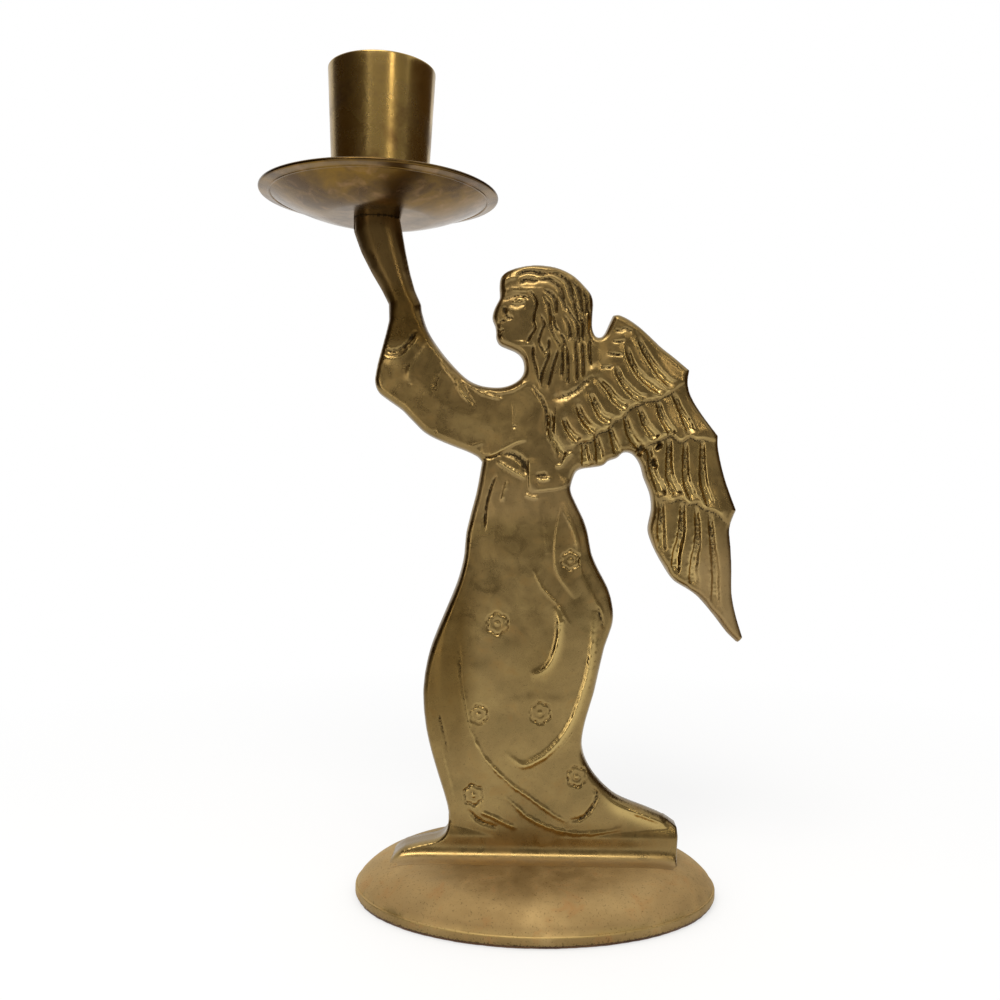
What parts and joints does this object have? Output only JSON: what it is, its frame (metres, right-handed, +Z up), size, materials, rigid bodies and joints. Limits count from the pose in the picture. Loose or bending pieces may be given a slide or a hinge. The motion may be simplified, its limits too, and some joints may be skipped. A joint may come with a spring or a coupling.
{
  "type": "candlestick",
  "caption": "Brass candlestick: a flat cast angel on an oval domed foot holds up a dished drip pan with a tapered cup for one candle.",
  "frame": {"origin": "centre of the underside of the oval foot, on the felt", "axes": "+Z up, +X along the length of the foot towards the heel of the train, +Y through the flat figure away from the viewer who sees the angel look left"},
  "size_m": [0.1268, 0.065, 0.2125],
  "materials": {
    "cast_brass": "aged polished casting",
    "turned_brass": "aged polished turning",
    "screw_steel": "plain",
    "felt": "felt"
  },
  "bodies": {
    "root": {"felt_pad": "felt", "foot": "cast_brass", "angel_figure": "cast_brass", "foot_screw_left": "screw_steel", "foot_screw_right": "screw_steel", "foot_washer_left": "screw_steel", "foot_washer_right": "screw_steel", "drip_pan": "turned_brass", "candle_cup": "turned_brass", "cup_screw": "screw_steel", "cup_washer": "screw_steel"}
  },
  "joints": []
}
